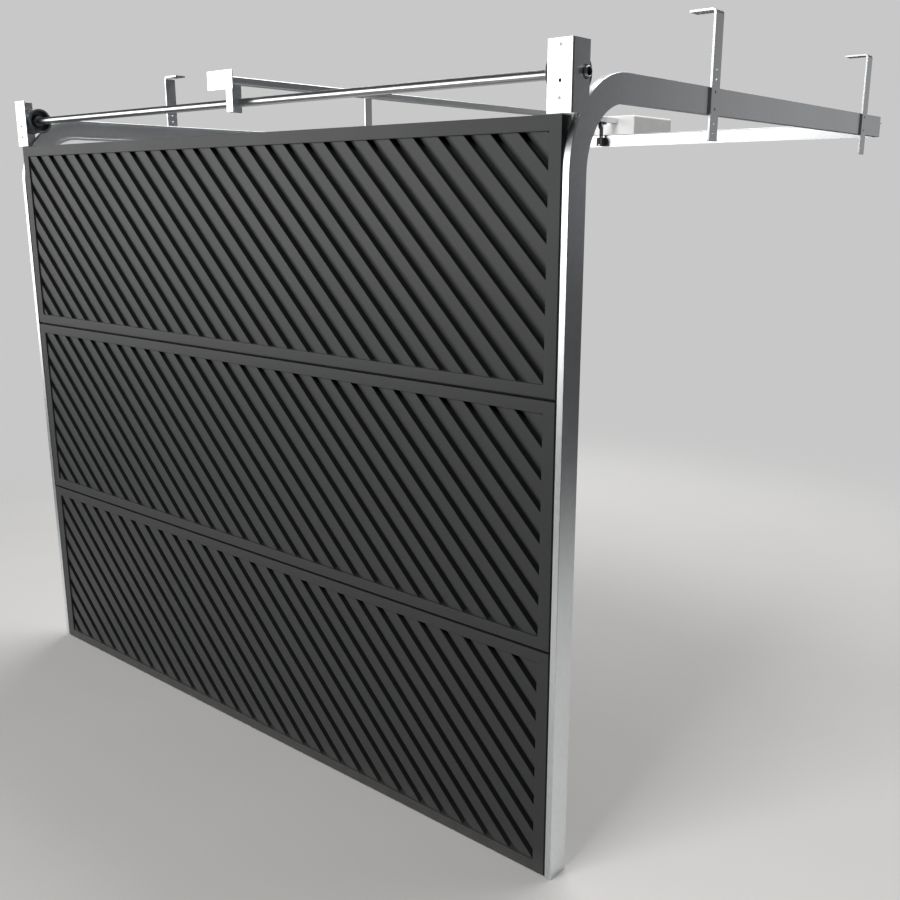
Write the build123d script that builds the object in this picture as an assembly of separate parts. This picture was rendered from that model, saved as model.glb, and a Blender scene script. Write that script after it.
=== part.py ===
from build123d import *
import os
from math import cos, sqrt, radians, ceil

# Sectional overhead garage door, closed, with its tracks, lift shaft and opener.
# Millimetres. X runs across the door, to the right as seen from the street.
# Y runs into the garage, so the street side faces -Y. Z runs up.
# The origin is on the floor, on the wall face of the left track.

# Door leaf
leaf_width = 2580.0
leaf_height = 2100.0
leaf_thickness = 42.0
section_count = 3
section_gap = 4.0
border_width = 38.0
seal_height = 5.0
seal_inset = 6.0

# Diagonal slats in each section
slat_pitch_wide = 65.4
slat_pitch_narrow = 62.5
slat_change = 534.6
slat_angle = 45.0
slat_face_depth = 5.0
slat_groove_depth = 22.0
slat_floor = 5.0
slat_lip = 9.0
slat_lip_depth = 13.5
slat_shoulder = 20.0
slat_shoulder_depth = 8.0
slat_rise = 36.0
slat_base = 2.0
core_thickness = 16.0

# Tracks
side_gap = 5.0
track_width = 20.0
track_depth = 76.0
track_wall = 3.0
track_lip = 9.0
curve_radius = 250.0
track_top_rise = 113.0
track_reach = 2187.0

# Rollers and their brackets
roller_radius = 22.0
roller_width = 8.0
roller_stem_radius = 5.5
roller_stem_length = 96.0
roller_side_gap = 1.0
bottom_roller_height = 60.0
top_roller_drop = 50.0
carrier_width = 60.0
carrier_height = 90.0
carrier_wall = 3.0

# Hinges between the sections
hinge_width = 70.0
hinge_height = 110.0
hinge_leaf_wall = 3.0
hinge_barrel_radius = 6.0
hinges_per_joint = 3

# End brackets
bracket_wall = 3.0
bracket_plate_width = 74.0
bracket_height = 170.0
bracket_depth = 72.0
bracket_rise = 2.0
bracket_hole_radius = 4.5
bracket_hole_inset = 37.0
bracket_top_hole_drop = 15.5
bracket_hole_pitch_upper = 80.0
bracket_hole_pitch_lower = 40.0

# Lift shaft, bearings and cable drums
shaft_radius = 12.7
shaft_back = 55.0
shaft_rise = 98.0
shaft_end_length = 10.0
bearing_clearance = 0.05
bearing_radius = 17.5
bearing_flange_radius = 21.0
bearing_flange_wall = 3.0
drum_radius = 47.0
drum_barrel_radius = 42.0
drum_rim_width = 5.0
drum_length = 75.0
drum_clearance = 6.0
drum_cup_depth = 28.0
drum_cup_radius = 39.0

# Centre bracket
centre_plate_left = 75.0
centre_plate_right = 50.0
centre_plate_height = 57.0
centre_plate_rise = 136.0
centre_leg_left = 20.0
centre_leg_right = 47.0
centre_leg_drop = 69.0
centre_flange_depth = 58.0
centre_slot_clearance = 0.8

# Opener rail
rail_offset = 30.0
rail_width = 36.0
rail_height = 22.0
rail_wall = 2.0
rail_slot = 12.0
rail_rise = 150.0
rail_past_tracks = 113.0

# Motor head
motor_width = 220.0
motor_length = 360.0
motor_height = 114.0
motor_above_rail = 12.0
motor_edge_radius = 10.0

# Trolley, draw arm and arm clevis
trolley_length = 100.0
arm_to_crossbar = 7.0
shoe_clearance = 2.0
neck_clearance = 2.0
trolley_plate_height = 8.0
lug_wall = 5.0
lug_length = 34.0
arm_thickness = 4.0
arm_width = 26.0
arm_side_gap = 0.5
arm_pivot_drop = 18.0
arm_middle_hole_drop = 49.0
arm_lower_hole_drop = 72.0
arm_hole_radius = 3.5
arm_pin_radius = 4.0
pin_clearance = 0.05
pin_head_radius = 7.0
pin_head_height = 3.0
clevis_side = 30.0
clevis_height = 38.0
clevis_top_drop = 54.0

# Hangers
hanger_wall = 6.0
hanger_width = 50.0
hanger_below_track = 72.0
hanger_above_track = 212.0
hanger_foot_length = 84.0
front_hanger_back = 734.0
rear_hanger_inset = 199.0
hanger_hole_radius = 4.5
hanger_upper_holes = (48.0, 22.0)
hanger_track_holes = (-12.0, -60.0)
hanger_lower_holes = (-100.0, -126.0)
foot_hole_radius = 4.5
foot_hole_inset = 18.0
foot_hole_pitch = 32.0

# Rear crossbar
crossbar_height = 54.0
crossbar_depth = 20.0
crossbar_wall = 3.0

# How far each cutting shape runs past the face it cuts
past = 1.0

# Places worked out from the sizes above
track_in = track_width / 2
track_out = -track_width / 2
leaf_left = track_in + side_gap
leaf_right = leaf_left + leaf_width
centre_x = leaf_left + leaf_width / 2
section_height = leaf_height / section_count
track_top = leaf_height + track_top_rise
curve_centre_z = track_top - curve_radius
shaft_z = leaf_height + shaft_rise
rail_bottom = leaf_height + rail_rise
rail_top = rail_bottom + rail_height
rail_x = centre_x + rail_offset
rail_end = track_reach + rail_past_tracks
trolley_back = track_reach - arm_to_crossbar - clevis_side / 2
rear_hanger_back = track_reach - rear_hanger_inset
top_roller_z = leaf_height - top_roller_drop


def block(x0, x1, y0, y1, z0, z1):
    """A box between two corners."""
    middle = Pos((x0 + x1) / 2, (y0 + y1) / 2, (z0 + z1) / 2)
    return middle * Box(x1 - x0, y1 - y0, z1 - z0)


def rod_x(x0, x1, y, z, radius):
    """A round bar along X."""
    return Pos((x0 + x1) / 2, y, z) * Rot(0, 90, 0) * Cylinder(radius, x1 - x0)


def rod_y(x, y0, y1, z, radius):
    """A round bar along Y."""
    return Pos(x, (y0 + y1) / 2, z) * Rot(90, 0, 0) * Cylinder(radius, y1 - y0)


def rod_z(x, y, z0, z1, radius):
    """A round bar along Z."""
    return Pos(x, y, (z0 + z1) / 2) * Cylinder(radius, z1 - z0)


def other_side(shape):
    """The same piece on the right of the door."""
    return mirror(shape, about=Plane.YZ.offset(centre_x))


def save(name, shape):
    """Write one sub-part to its own file."""
    export_step(shape, os.path.join("parts", name + ".step"))


def section_span(index):
    """Bottom and top of a section's frame, counted from the floor."""
    low = index * section_height
    bottom = low + seal_height if index == 0 else low + section_gap / 2
    top = low + section_height
    if index < section_count - 1:
        top -= section_gap / 2
    return bottom, top


def section_recess(index):
    """Left, right, bottom and top of the opening in a section's frame."""
    low = index * section_height
    return (leaf_left + border_width, leaf_right - border_width,
            low + border_width, low + section_height - border_width)


def section_frame(index):
    """Four flat members round one section."""
    bottom, top = section_span(index)
    left, right, low, high = section_recess(index)
    outer = block(leaf_left, leaf_right, 0, leaf_thickness, bottom, top)
    return outer - block(left, right, 0, leaf_thickness, low, high)


def slat_edges(first, last):
    """Front edges of the slats, counted across them from the section's bottom middle."""
    wide = ceil((slat_change - first) / slat_pitch_wide)
    narrow = ceil((last - slat_change) / slat_pitch_narrow)
    edges = [slat_change - count * slat_pitch_wide for count in range(wide, 0, -1)]
    return edges + [slat_change + count * slat_pitch_narrow for count in range(narrow + 1)]


def section_slats(index):
    """Diagonal slats: a flat face, a narrow deep groove and a rounded rise back up."""
    left, right, low, high = section_recess(index)
    base = index * section_height
    across = cos(radians(slat_angle))
    first = ((left - centre_x) + (low - base)) * across
    last = ((right - centre_x) + (high - base)) * across
    edges = slat_edges(first, last)
    rear = slat_groove_depth + slat_base
    points = [(edges[0], -rear)]
    for edge in edges:
        points.append((edge, -slat_face_depth))
        points.append((edge, -slat_groove_depth))
        points.append((edge + slat_floor, -slat_groove_depth))
        points.append((edge + slat_lip, -slat_lip_depth))
        points.append((edge + slat_shoulder, -slat_shoulder_depth))
        points.append((edge + slat_rise, -slat_face_depth))
    points.append((edges[-1] + slat_pitch_narrow, -slat_face_depth))
    points.append((edges[-1] + slat_pitch_narrow, -rear))
    run = (right - left) + (high - low)
    section = Plane(origin=(centre_x, 0, base), x_dir=(1, 0, 1), z_dir=(1, 0, -1))
    slats = extrude(section * make_face(Polyline(*points, close=True)), amount=run, both=True)
    return slats & block(left, right, 0, leaf_thickness, low, high)


def section_back(index):
    """Flat core and skin behind the slats, a little inside the frame's rear face."""
    left, right, low, high = section_recess(index)
    front = slat_groove_depth + slat_base
    return block(left, right, front, front + core_thickness, low, high)


def bottom_seal():
    return block(leaf_left, leaf_right, seal_inset, leaf_thickness - seal_inset, 0, seal_height)


def track_profile():
    """Channel section of the left track, open towards the door."""
    web = Pos(track_out + track_wall / 2, track_depth / 2) * Rectangle(track_wall, track_depth)
    front = Pos(0, track_wall / 2) * Rectangle(track_width, track_wall)
    rear = Pos(0, track_depth - track_wall / 2) * Rectangle(track_width, track_wall)
    lip_x = track_in - track_wall / 2
    front_lip = Pos(lip_x, track_lip / 2) * Rectangle(track_wall, track_lip)
    rear_lip = Pos(lip_x, track_depth - track_lip / 2) * Rectangle(track_wall, track_lip)
    return web + front + rear + front_lip + rear_lip


def vertical_track():
    return extrude(track_profile(), amount=curve_centre_z)


def curved_track():
    start = Pos(0, 0, curve_centre_z) * track_profile()
    turn = Axis((0, curve_radius, curve_centre_z), (-1, 0, 0))
    return revolve(start, turn, 90)


def horizontal_track():
    lying = Plane(origin=(0, curve_radius, track_top), x_dir=(1, 0, 0), z_dir=(0, 1, 0))
    return extrude(lying * track_profile(), amount=track_reach - curve_radius)


def roller_places():
    """Y and Z of the four rollers in the left track."""
    rear_face = track_depth - track_wall
    straight = rear_face - roller_radius
    places = [(straight, bottom_roller_height)]
    for joint in range(1, section_count):
        places.append((straight, joint * section_height))
    inner = curve_radius - rear_face
    rise = top_roller_z - curve_centre_z
    reach = sqrt((inner + roller_radius) ** 2 - rise ** 2)
    places.append((curve_radius - reach, top_roller_z))
    return places


def rollers():
    """Rollers on their stems, one above the other."""
    wheel_x = track_out + track_wall + roller_side_gap
    group = []
    for y, z in roller_places():
        wheel = rod_x(wheel_x, wheel_x + roller_width, y, z, roller_radius)
        stem = rod_x(wheel_x, wheel_x + roller_stem_length, y, z, roller_stem_radius)
        group.append(wheel + stem)
    return Compound(group)


def roller_brackets():
    """Plates on the leaf's rear that carry the roller stems."""
    group = []
    half = carrier_height / 2
    left = leaf_left + carrier_wall
    for y, z in roller_places():
        tube = roller_stem_radius + carrier_wall
        low = max(z - half, seal_height)
        high = min(z + half, leaf_height)
        plate = block(left, left + carrier_width, leaf_thickness, leaf_thickness + carrier_wall,
                      low, high)
        socket = rod_x(left, left + carrier_width, y, z, tube)
        foot = block(left, left + carrier_width, leaf_thickness, y, z - tube, z + tube)
        hole = rod_x(left - past, left + carrier_width + past, y, z, roller_stem_radius)
        solid_plate = plate + socket + foot
        group.append(solid_plate - hole)
    return Compound(group)


def hinge_row(joint):
    """Hinges across one joint between two sections."""
    z = joint * section_height
    group = []
    for number in range(1, hinges_per_joint + 1):
        x = leaf_left + leaf_width * number / (hinges_per_joint + 1)
        plate = block(x - hinge_width / 2, x + hinge_width / 2, leaf_thickness,
                      leaf_thickness + hinge_leaf_wall, z - hinge_height / 2, z + hinge_height / 2)
        barrel = rod_x(x - hinge_width / 2, x + hinge_width / 2,
                       leaf_thickness + hinge_barrel_radius, z, hinge_barrel_radius)
        group.append(plate + barrel)
    return Compound(group)


def end_bracket():
    """Left bearing bracket: a wall plate and a side flange, bent from one sheet."""
    outer = track_out - bracket_wall
    low = leaf_height + bracket_rise
    high = low + bracket_height
    plate = block(outer, outer + bracket_plate_width, 0, bracket_wall, low, high)
    flange = block(outer, track_out, 0, bracket_depth, low, high)
    body = plate + flange
    body -= rod_x(outer - past, track_out + past, shaft_back, shaft_z, bearing_radius)
    for z in bracket_hole_heights():
        body -= rod_y(outer + bracket_hole_inset, -past, bracket_wall + past, z,
                      bracket_hole_radius)
    return body


def bracket_hole_heights():
    top = leaf_height + bracket_rise + bracket_height - bracket_top_hole_drop
    middle = top - bracket_hole_pitch_upper
    return top, middle, middle - bracket_hole_pitch_lower


def end_bearing():
    """Flanged bush in the left bracket's side flange."""
    outer = track_out - bracket_wall
    body = rod_x(outer, track_out, shaft_back, shaft_z, bearing_radius)
    flange = rod_x(track_out, track_out + bearing_flange_wall, shaft_back, shaft_z,
                   bearing_flange_radius)
    bore = rod_x(outer - past, track_out + bearing_flange_wall + past, shaft_back, shaft_z,
                 shaft_radius + bearing_clearance)
    return body + flange - bore


def lift_shaft():
    end = track_out - bracket_wall - shaft_end_length
    return rod_x(end, 2 * centre_x - end, shaft_back, shaft_z, shaft_radius)


def cable_drum():
    """Left drum: two rims, a barrel between them and a cup on the inner end."""
    left = track_out + bearing_flange_wall + drum_clearance
    right = left + drum_length
    barrel = rod_x(left, right, shaft_back, shaft_z, drum_barrel_radius)
    outer_rim = rod_x(left, left + drum_rim_width, shaft_back, shaft_z, drum_radius)
    inner_rim = rod_x(right - drum_rim_width, right, shaft_back, shaft_z, drum_radius)
    cup = rod_x(right - drum_cup_depth, right + past, shaft_back, shaft_z, drum_cup_radius)
    bore = rod_x(left - past, right + past, shaft_back, shaft_z, shaft_radius)
    return barrel + outer_rim + inner_rim - cup - bore


def centre_bracket():
    """Wall plate, leg and slotted side flange round the middle of the shaft."""
    low = leaf_height + centre_plate_rise
    high = low + centre_plate_height
    foot = low - centre_leg_drop
    left = centre_x + centre_leg_left
    plate = block(centre_x - centre_plate_left, centre_x + centre_plate_right, 0, bracket_wall,
                  low, high)
    leg = block(left, centre_x + centre_leg_right, 0, bracket_wall, foot, low)
    flange = block(left - bracket_wall, left, 0, centre_flange_depth, foot, rail_bottom)
    slot = shaft_radius + centre_slot_clearance
    gap = rod_x(left - bracket_wall - past, left + past, shaft_back, shaft_z, slot)
    mouth = block(left - bracket_wall - past, left + past, shaft_back, centre_flange_depth + past,
                  shaft_z - slot, shaft_z + slot)
    return plate + leg + flange - gap - mouth


def opener_rail():
    """Channel with a slot along its underside."""
    left = rail_x - rail_width / 2
    right = rail_x + rail_width / 2
    body = block(left, right, bracket_wall, rail_end, rail_bottom, rail_top)
    body -= block(left + rail_wall, right - rail_wall, bracket_wall - past, rail_end + past,
                  rail_bottom + rail_wall, rail_top - rail_wall)
    body -= block(rail_x - rail_slot / 2, rail_x + rail_slot / 2, bracket_wall - past, rail_end + past,
                  rail_bottom - past, rail_bottom + rail_wall + past)
    return body


def motor_head():
    top = rail_top + motor_above_rail
    body = block(rail_x - motor_width / 2, rail_x + motor_width / 2, rail_end,
                 rail_end + motor_length, top - motor_height, top)
    long_edges = body.edges().filter_by(Axis.Y)
    return fillet(long_edges, motor_edge_radius)


def arm_faces():
    """X of the lug's outer face and of both faces of the draw arm."""
    lug_face = rail_x + rail_slot / 2 + lug_wall
    near = lug_face + arm_side_gap
    return lug_face, near, near + arm_thickness


def trolley():
    """Shoe in the rail, neck through its slot, plate below and a lug with the arm's pin."""
    front = trolley_back - trolley_length / 2
    rear = trolley_back + trolley_length / 2
    inside = rail_width / 2 - rail_wall - shoe_clearance
    shoe = block(rail_x - inside, rail_x + inside, front, rear,
                 rail_bottom + rail_wall + shoe_clearance, rail_top - rail_wall - shoe_clearance)
    neck_half = rail_slot / 2 - neck_clearance
    plate_top = rail_bottom - shoe_clearance
    neck = block(rail_x - neck_half, rail_x + neck_half, front, rear,
                 plate_top - past, rail_bottom + rail_wall + shoe_clearance + past)
    lug_face, near, far = arm_faces()
    plate = block(rail_x - inside, lug_face, front, rear,
                  plate_top - trolley_plate_height, plate_top)
    pivot_z = rail_bottom - arm_pivot_drop
    lug = block(lug_face - lug_wall, lug_face, trolley_back - lug_length / 2,
                trolley_back + lug_length / 2, pivot_z - lug_length / 2, plate_top)
    pin = rod_x(lug_face - lug_wall, far + arm_side_gap, trolley_back, pivot_z, arm_pin_radius)
    head = rod_x(far + arm_side_gap, far + arm_side_gap + pin_head_height, trolley_back, pivot_z,
                 pin_head_radius)
    return shoe + neck + plate + lug + pin + head


def draw_arm():
    """Flat strap with rounded ends and three holes, hanging from the trolley's pin."""
    lug_face, near, far = arm_faces()
    pivot_z = rail_bottom - arm_pivot_drop
    low = pivot_z - arm_lower_hole_drop
    round_end = arm_width / 2
    strap = block(near, far, trolley_back - round_end, trolley_back + round_end, low, pivot_z)
    strap += rod_x(near, far, trolley_back, pivot_z, round_end)
    strap += rod_x(near, far, trolley_back, low, round_end)
    strap -= rod_x(near - past, far + past, trolley_back, pivot_z, arm_pin_radius + pin_clearance)
    for drop in (arm_middle_hole_drop, arm_lower_hole_drop):
        strap -= rod_x(near - past, far + past, trolley_back, pivot_z - drop, arm_hole_radius)
    return strap


def arm_clevis():
    """Small slotted block on the lower end of the draw arm."""
    lug_face, near, far = arm_faces()
    middle = (near + far) / 2
    pivot_z = rail_bottom - arm_pivot_drop
    half = clevis_side / 2
    top = pivot_z - clevis_top_drop
    body = block(middle - half, middle + half, trolley_back - half, trolley_back + half,
                 top - clevis_height, top)
    slot_floor = pivot_z - arm_lower_hole_drop
    body -= block(near, far, trolley_back - half - past, trolley_back + half + past,
                  slot_floor, top + past)
    body -= rod_x(near, far, trolley_back, slot_floor, arm_width / 2)
    body -= rod_x(middle - half - past, middle + half + past, trolley_back, slot_floor,
                  arm_hole_radius)
    return body


def hanger(back, heights):
    """Left hanger: a holed strap outside the track with a foot turned in at the top."""
    outer = track_out - hanger_wall
    front = back - hanger_width / 2
    rear = back + hanger_width / 2
    low = track_top - track_depth - hanger_below_track
    high = track_top + hanger_above_track
    strap = block(outer, track_out, front, rear, low, high)
    foot = block(outer, outer + hanger_foot_length, front, rear, high - hanger_wall, high)
    body = strap + foot
    for height in heights:
        body -= rod_x(outer - past, track_out + past, back, track_top + height, hanger_hole_radius)
    for step in (0, 1):
        x = outer + hanger_foot_length - foot_hole_inset - step * foot_hole_pitch
        body -= rod_z(x, back, high - hanger_wall - past, high + past, foot_hole_radius)
    return body


def rear_crossbar():
    """Angle across the rear ends of both tracks."""
    low = track_top - track_depth
    left = track_out
    right = 2 * centre_x - track_out
    face = block(left, right, track_reach, track_reach + crossbar_wall, low, low + crossbar_height)
    shelf = block(left, right, track_reach, track_reach + crossbar_depth,
                  low + crossbar_height - crossbar_wall, low + crossbar_height)
    return face + shelf


os.makedirs("parts", exist_ok=True)

section_names = ("bottom_section", "middle_section", "top_section")
for index, name in enumerate(section_names):
    save(name + "_frame", section_frame(index))
    save(name + "_slats", section_slats(index))
    save(name + "_back", section_back(index))
save("bottom_seal", bottom_seal())

save("lower_joint_hinges", hinge_row(1))
save("upper_joint_hinges", hinge_row(2))

front_holes = hanger_upper_holes + hanger_track_holes + hanger_lower_holes
paired_pieces = {
    "vertical_track": vertical_track(),
    "curved_track": curved_track(),
    "horizontal_track": horizontal_track(),
    "rollers": rollers(),
    "roller_brackets": roller_brackets(),
    "end_bracket": end_bracket(),
    "end_bearing": end_bearing(),
    "cable_drum": cable_drum(),
    "front_hanger": hanger(front_hanger_back, front_holes),
    "rear_hanger": hanger(rear_hanger_back, hanger_track_holes),
}
for name, shape in paired_pieces.items():
    save("left_" + name, shape)
    save("right_" + name, other_side(shape))

save("lift_shaft", lift_shaft())
save("centre_bracket", centre_bracket())
save("opener_rail", opener_rail())
save("motor_head", motor_head())
save("trolley", trolley())
save("draw_arm", draw_arm())
save("arm_clevis", arm_clevis())
save("rear_crossbar", rear_crossbar())
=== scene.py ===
"""Dresses a closed sectional garage door, with its tracks, lift shaft and rail opener.

X runs across the door, Y runs into the garage and Z runs up. Everything is in metres.
"""

import math

import bmesh
import bpy
from bpy.props import FloatProperty, FloatVectorProperty, IntProperty, PointerProperty
from bpy.types import Operator, Panel, PropertyGroup
from mathutils import Matrix, Vector


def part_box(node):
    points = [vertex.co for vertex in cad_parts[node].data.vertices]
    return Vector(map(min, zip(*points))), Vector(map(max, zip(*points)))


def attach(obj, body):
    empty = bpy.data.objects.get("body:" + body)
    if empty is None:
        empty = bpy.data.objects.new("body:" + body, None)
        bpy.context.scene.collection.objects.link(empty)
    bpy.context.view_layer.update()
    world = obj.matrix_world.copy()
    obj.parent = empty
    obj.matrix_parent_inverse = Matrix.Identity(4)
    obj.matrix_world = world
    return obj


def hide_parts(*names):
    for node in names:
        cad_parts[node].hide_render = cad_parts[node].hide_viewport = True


bl_info = {
    "name": "Sectional Garage Door",
    "version": (1, 0, 0),
    "blender": (4, 5, 0),
    "location": "3D View > Sidebar > Garage Door",
    "description": "Makes the visible pieces of a sectional garage door around its fixed frame",
    "category": "Object",
}

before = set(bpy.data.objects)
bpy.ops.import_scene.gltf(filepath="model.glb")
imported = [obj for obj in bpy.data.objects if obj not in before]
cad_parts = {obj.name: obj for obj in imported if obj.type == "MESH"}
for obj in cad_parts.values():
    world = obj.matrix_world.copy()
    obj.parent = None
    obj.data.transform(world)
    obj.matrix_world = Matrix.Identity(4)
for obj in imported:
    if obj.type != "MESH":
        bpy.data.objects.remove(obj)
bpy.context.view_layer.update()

MM = 0.001
SECTIONS = ("bottom", "middle", "top")
# Each joint's row of hinges, and the sections below and above it.
JOINTS = (("lower", "bottom", "middle"), ("upper", "middle", "top"))
LEAF_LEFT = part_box("bottom_section_frame")[0].x
LEAF_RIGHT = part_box("bottom_section_frame")[1].x
LEAF_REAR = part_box("bottom_section_frame")[1].y
LEAF_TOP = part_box("top_section_frame")[1].z
CENTRE_X = (LEAF_LEFT + LEAF_RIGHT) / 2
ACROSS = Matrix.Translation((2 * CENTRE_X, 0, 0)) @ Matrix.Diagonal((-1, 1, 1, 1))
SIDES = {"left": Matrix.Identity(4), "right": ACROSS}
RIGHTWARD = Vector((1, 0, 0))
INWARD = Vector((0, 1, 0))
UPWARD = Vector((0, 0, 1))
SHARP_ANGLE = math.radians(38)
SKIN_DEPTH = 5 * MM
SHEET_WALL = 3 * MM
BOLT_HOLE_RADIUS = 4.5 * MM
SMALL_BOLT_WIDTH = 10 * MM


# Sizes, colours and materials


def linear(code):
    """A linear colour from an sRGB hex code such as #808080."""
    shares = [int(code[place:place + 2], 16) / 255 for place in (1, 3, 5)]
    return tuple(s / 12.92 if s <= 0.04045 else ((s + 0.055) / 1.055) ** 2.4 for s in shares)


def length(name, description, default, low=0.0002, high=1.0):
    """A size that a user may change, in metres."""
    return FloatProperty(name=name, description=description, default=default, min=low, max=high,
                         subtype="DISTANCE", unit="LENGTH", precision=4)


def colour(name, description, code):
    """A colour that a user may change."""
    return FloatVectorProperty(name=name, description=description, size=3, min=0.0, max=1.0,
                               subtype="COLOR", default=linear(code))


class DoorSizes(PropertyGroup):
    """Sizes of the visible pieces that the frame leaves open."""

    frame_edge: length("Frame Edge", "Rounding along the edges of the leaf's frames", 1.4 * MM)
    joint_relief: length("Joint Relief", "How far a section's edge is folded back at a joint",
                         1.6 * MM)
    sheet_edge: length("Sheet Edge", "Rounding along the cut edges of thin sheet", 0.5 * MM)
    slat_pitch_wide: length("Wide Slat Pitch", "From slat to slat below the change", 65.4 * MM)
    slat_pitch_narrow: length("Narrow Slat Pitch", "From slat to slat above the change", 62.5 * MM)
    slat_change: length("Slat Change", "Place of the groove where the pitch changes", 536.1 * MM)
    groove_width: length("Groove Width", "From a slat's edge to the next slat's lip", 11 * MM)
    slat_return: length("Slat Return", "How far a slat's edge is folded back under it", 7 * MM)
    lip_depth: length("Lip Depth", "How far a slat's lip lies behind its flat face", 9 * MM)
    slat_rise: length("Slat Rise", "Width of the rounded rise behind a slat's lip", 24 * MM)
    rib_pitch: length("Rear Rib Pitch", "From rib to rib on the leaf's rear skins", 96 * MM)
    track_wall: length("Track Wall", "Thickness of the tracks' steel", 3 * MM)
    track_lip: length("Track Lip", "Width of the tracks' turned-in lips", 9 * MM)
    curve_radius: length("Curve Radius", "Outer radius of the curved tracks", 250 * MM)
    roller_radius: length("Roller Radius", "Radius of the track rollers", 22 * MM)
    shaft_radius: length("Shaft Radius", "Radius of the lift shaft", 12.7 * MM)
    hinges_per_joint: IntProperty(name="Hinges per Joint", default=3, min=1, max=8,
                                  description="Number of hinges on each joint of the leaf")


class DoorColours(PropertyGroup):
    """Colours of the door's finishes."""

    coat: colour("Leaf Coat", "Powder coat of the leaf", "#252626")
    zinc: colour("Galvanised Steel", "Tracks, brackets and hangers", "#e4e6e8")
    tube: colour("Shaft Steel", "Drawn tube of the lift shaft", "#d6d7d8")
    drum: colour("Drum Metal", "Cast cable drums", "#7a7c7f")
    plated: colour("Plated Steel", "Bolts, hinges and roller stems", "#c2c4c4")
    nylon: colour("Roller Nylon", "Moulded roller tyres", "#e3e1d8")
    housing: colour("Motor Housing", "Moulded cover of the motor head", "#f0f0ee")
    black: colour("Black Coat", "Trolley, draw arm and clevis", "#1b1c1d")
    rubber: colour("Seal Rubber", "Seals on the leaf", "#121212")
    floor: colour("Floor", "Plain studio floor", "#b9b8b6")
    backdrop: colour("Backdrop", "Tone behind the floor", "#c8c8c8")


def add_node(tree, kind, inputs=None, **settings):
    """Adds a node with its settings, and fills its inputs with values or with other sockets."""
    node = tree.nodes.new(kind)
    for name, value in settings.items():
        setattr(node, name, value)
    for name, value in (inputs or {}).items():
        if isinstance(value, bpy.types.NodeSocket):
            tree.links.new(value, node.inputs[name])
        else:
            node.inputs[name].default_value = value
    return node


def per_metre(size_mm):
    """A pattern's scale, from the real size of one of its features in millimetres."""
    return 1000 / size_mm


def opaque(rgb):
    """A colour with its fourth value, as a node's socket takes it."""
    return (rgb[0], rgb[1], rgb[2], 1.0)


def shade(rgb, factor):
    """A lighter or darker colour of the same hue."""
    return tuple(min(1.0, channel * factor) for channel in rgb)


def blank_material(name):
    """A new material, its node tree and its place in the object, in metres."""
    material = bpy.data.materials.new(name)
    material.use_nodes = True
    tree = material.node_tree
    tree.nodes.clear()
    place = add_node(tree, "ShaderNodeTexCoord").outputs["Object"]
    return material, tree, place


def mottled(tree, place, rgb, size_mm, spread, stretch=(1, 1, 1)):
    """A colour that drifts either side of its own tone, and the noise that moves it."""
    laid = add_node(tree, "ShaderNodeMapping", {"Vector": place, "Scale": stretch})
    noise = add_node(tree, "ShaderNodeTexNoise", {
        "Vector": laid.outputs["Vector"], "Scale": per_metre(size_mm), "Detail": 4.0,
        "Roughness": 0.55})
    share = add_node(tree, "ShaderNodeMapRange", {
        "Value": noise.outputs["Fac"], "From Min": 0.3, "From Max": 0.7})
    tone = add_node(tree, "ShaderNodeMixRGB", {
        "Fac": share.outputs["Result"], "Color1": opaque(shade(rgb, 1 - spread)),
        "Color2": opaque(shade(rgb, 1 + spread))})
    return tone.outputs["Color"], share.outputs["Result"]


def finish_off(tree, inputs, **settings):
    """The surface's shader and the material's output."""
    shader = add_node(tree, "ShaderNodeBsdfPrincipled", inputs, **settings)
    add_node(tree, "ShaderNodeOutputMaterial", {"Surface": shader.outputs["BSDF"]})


def powder_coated_steel(rgb):
    """Polyester powder, baked on folded steel."""
    # Baked powder is even and half matt, with a faint orange peel and slow drifts in gloss.
    # Real peel is about 1.5 mm from crest to crest. It is drawn at 5 mm, so that it shows.
    material, tree, place = blank_material("powder_coated_steel")
    tone, drift = mottled(tree, place, rgb, 420, 0.05)
    peel = add_node(tree, "ShaderNodeTexNoise", {
        "Vector": place, "Scale": per_metre(5), "Detail": 2.0, "Roughness": 0.4})
    bump = add_node(tree, "ShaderNodeBump", {
        "Height": peel.outputs["Fac"], "Strength": 0.05, "Distance": 0.3 * MM})
    gloss = add_node(tree, "ShaderNodeMapRange", {"Value": drift, "To Min": 0.47, "To Max": 0.52})
    # Settled dust lightens the lowest hand's breadth, in patches of about 40 mm.
    height = add_node(tree, "ShaderNodeSeparateXYZ", {"Vector": place})
    patches = add_node(tree, "ShaderNodeTexNoise", {
        "Vector": place, "Scale": per_metre(40), "Detail": 5.0})
    low = add_node(tree, "ShaderNodeMapRange", {
        "Value": height.outputs["Z"], "From Min": 0.0, "From Max": 90 * MM, "To Min": 0.16,
        "To Max": 0.0})
    dust = add_node(tree, "ShaderNodeMath", {0: low.outputs["Result"], 1: patches.outputs["Fac"]},
                    operation="MULTIPLY")
    dusty = add_node(tree, "ShaderNodeMixRGB", {
        "Fac": dust.outputs["Value"], "Color1": tone, "Color2": opaque(linear("#8d8a84"))})
    finish_off(tree, {"Base Color": dusty.outputs["Color"], "Roughness": gloss.outputs["Result"],
                      "Normal": bump.outputs["Normal"], "IOR": 1.5})
    return material


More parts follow.
